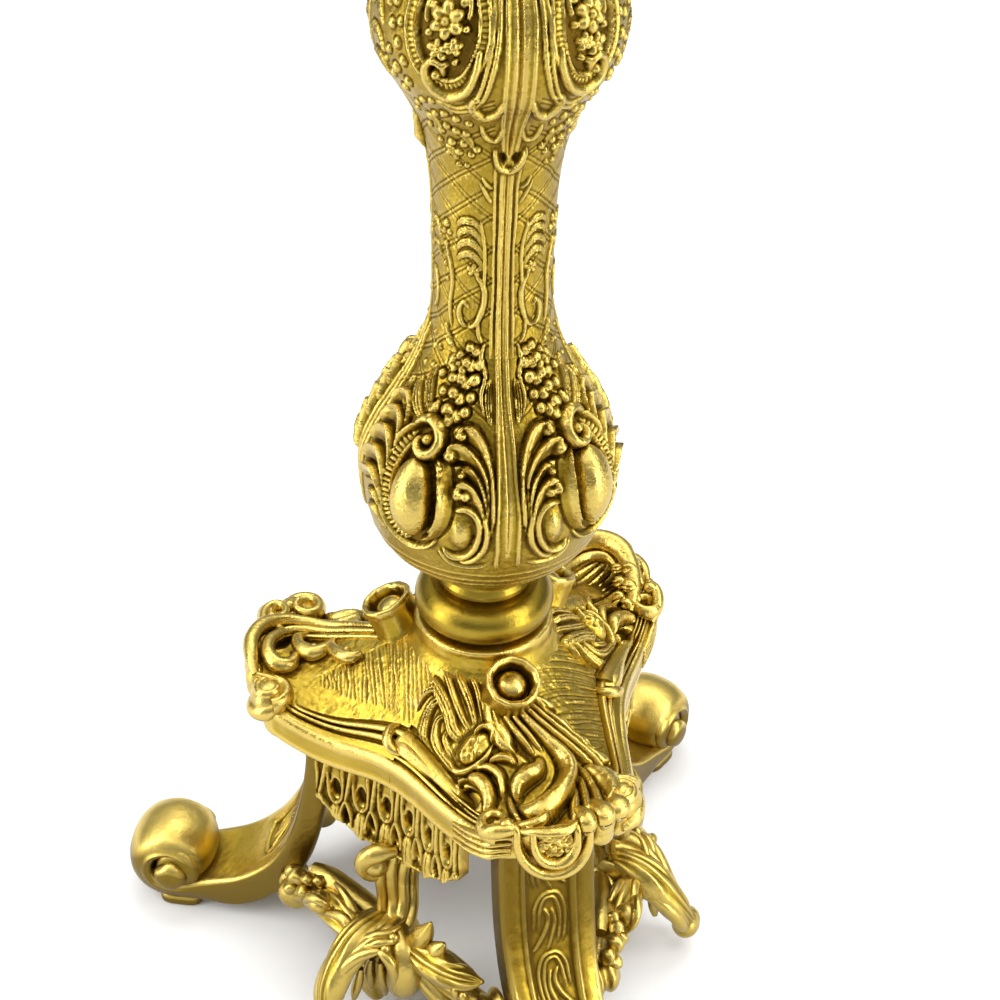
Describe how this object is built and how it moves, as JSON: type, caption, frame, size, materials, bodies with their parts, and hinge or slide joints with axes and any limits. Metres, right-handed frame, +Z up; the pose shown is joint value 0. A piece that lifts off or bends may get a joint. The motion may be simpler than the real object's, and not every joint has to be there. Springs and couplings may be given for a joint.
{
  "type": "torchere candle stand",
  "caption": "Tall cast and gilded candle stand on a scrolled tripod base, with a bulbous stem, a drip pan and a lift-out nozzle that holds the candle.",
  "frame": {"origin": "the point on the floor below the stem's axis, in the middle of the three feet", "axes": "+Z up along the stem, -Y towards the front leg, +X to the right"},
  "size_m": [0.3204, 0.287, 1.058],
  "materials": {
    "gilt_cast": "gilded casting, semi-gloss, with dark brown patina in the recesses",
    "gilt_turned": "turned and gilded, semi-gloss, worn",
    "steel": "plain steel, dull"
  },
  "bodies": {
    "stand": {"leg_front": "gilt_cast", "leg_right": "gilt_cast", "leg_left": "gilt_cast", "canopy": "gilt_cast", "apron_right": "gilt_cast", "apron_rear": "gilt_cast", "apron_left": "gilt_cast", "bracket_right": "gilt_cast", "bracket_rear": "gilt_cast", "bracket_left": "gilt_cast", "lower_stem_half_a": "gilt_cast", "lower_stem_half_b": "gilt_cast", "upper_stem_half_a": "gilt_cast", "upper_stem_half_b": "gilt_cast", "drip_pan": "gilt_cast", "candle_cup": "gilt_cast", "canopy_bolts": "gilt_turned", "collar_ring": "gilt_turned", "neck_spool": "gilt_turned", "middle_knop": "gilt_turned", "capital": "gilt_turned", "canopy_bolt_nuts": "steel", "apron_screws": "steel", "bracket_screws": "steel", "bracket_dowels": "steel", "tie_rod": "steel", "clamp_washer": "steel", "bottom_nut": "steel", "top_nut": "steel"},
    "nozzle": {"candle_nozzle": "gilt_turned"}
  },
  "joints": [
    {"name": "nozzle_lift", "type": "slide", "parent": "stand", "child": "nozzle", "axis": [0, 0, 1], "range_m": [0, 0.06]}
  ]
}
